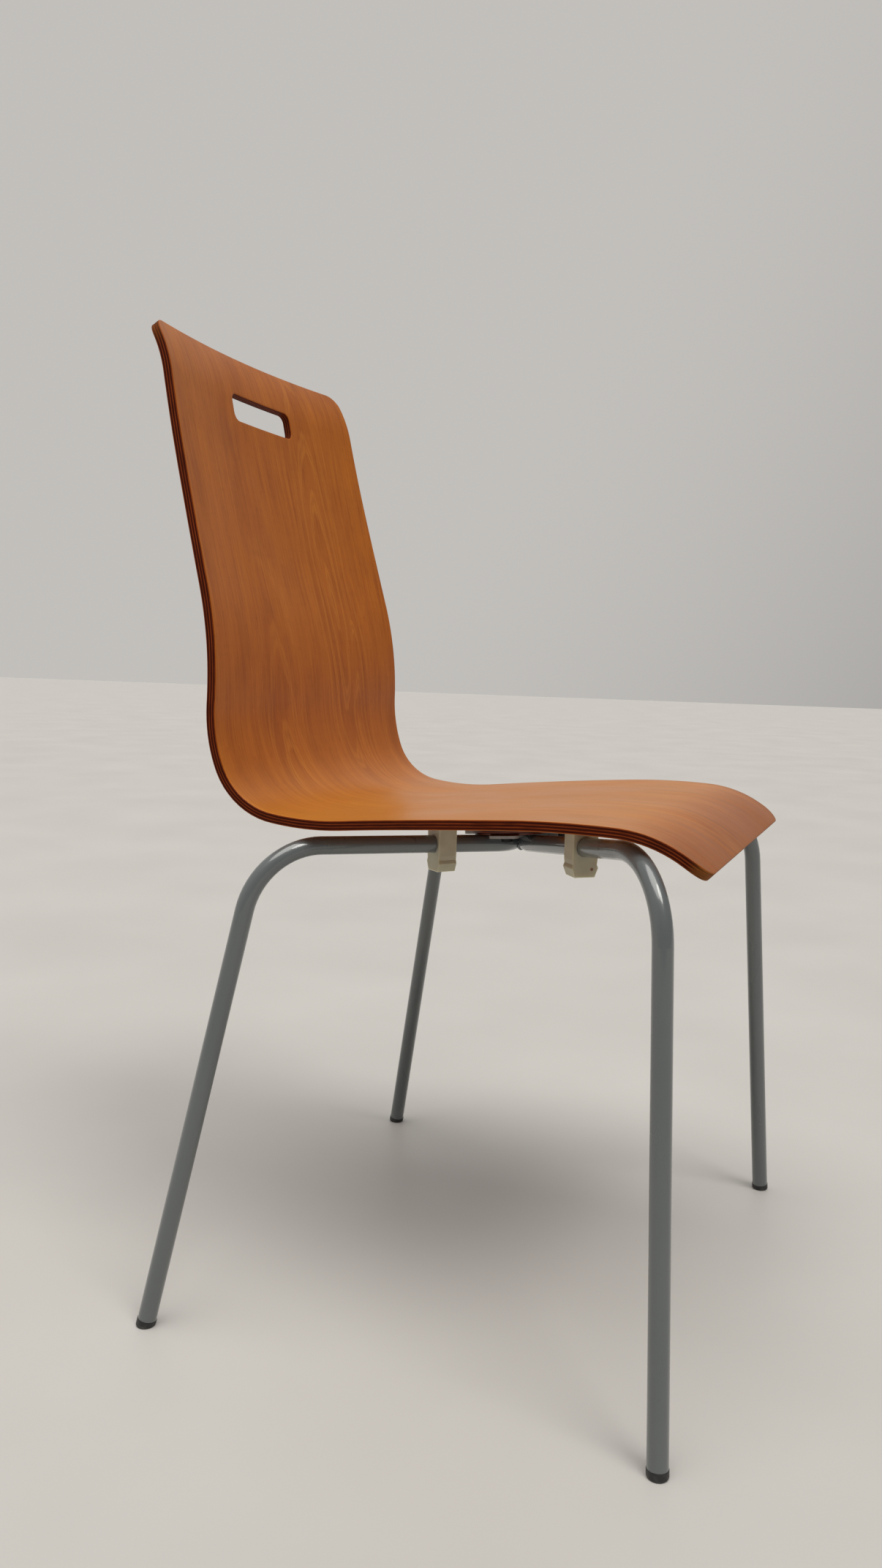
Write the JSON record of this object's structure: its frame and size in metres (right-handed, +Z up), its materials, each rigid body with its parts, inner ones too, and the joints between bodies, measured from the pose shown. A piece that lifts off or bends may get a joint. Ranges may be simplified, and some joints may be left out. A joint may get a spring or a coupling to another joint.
{
  "type": "stacking chair",
  "caption": "Stacking chair with a one-piece moulded plywood seat and back, a hand slot, and a frame of bent round steel tubes on plastic glides.",
  "frame": {"origin": "on the floor, under the middle of the chair's width and depth", "axes": "+Z up, the sitter faces -Y, +X is the sitter's left"},
  "size_m": [0.5302, 0.5281, 0.862],
  "materials": {
    "plywood": "satin lacquered wood veneer, orange-brown, with dark red-brown stained ply edges",
    "spacer_wood": "dark red-brown stained plywood",
    "plate_steel": "light grey paint",
    "tube_paint": "semi-gloss grey paint",
    "buffer_nylon": "natural nylon, slightly translucent",
    "glide_plastic": "black",
    "dark_steel": "black oxide",
    "zinc_steel": "zinc plated"
  },
  "bodies": {
    "root": {"seat_shell": "plywood", "spacer_disc": "spacer_wood", "cross_plate": "plate_steel", "rear_leg_tube": "tube_paint", "front_leg_tube": "tube_paint", "frame_welds": "tube_paint", "stack_buffer_rear_left": "buffer_nylon", "foot_glide_rear_left": "glide_plastic", "stack_buffer_rear_right": "buffer_nylon", "foot_glide_rear_right": "glide_plastic", "stack_buffer_front_left": "buffer_nylon", "foot_glide_front_left": "glide_plastic", "stack_buffer_front_right": "buffer_nylon", "foot_glide_front_right": "glide_plastic", "seat_screws": "dark_steel", "screw_washers": "dark_steel", "tee_nuts": "zinc_steel"}
  },
  "joints": []
}
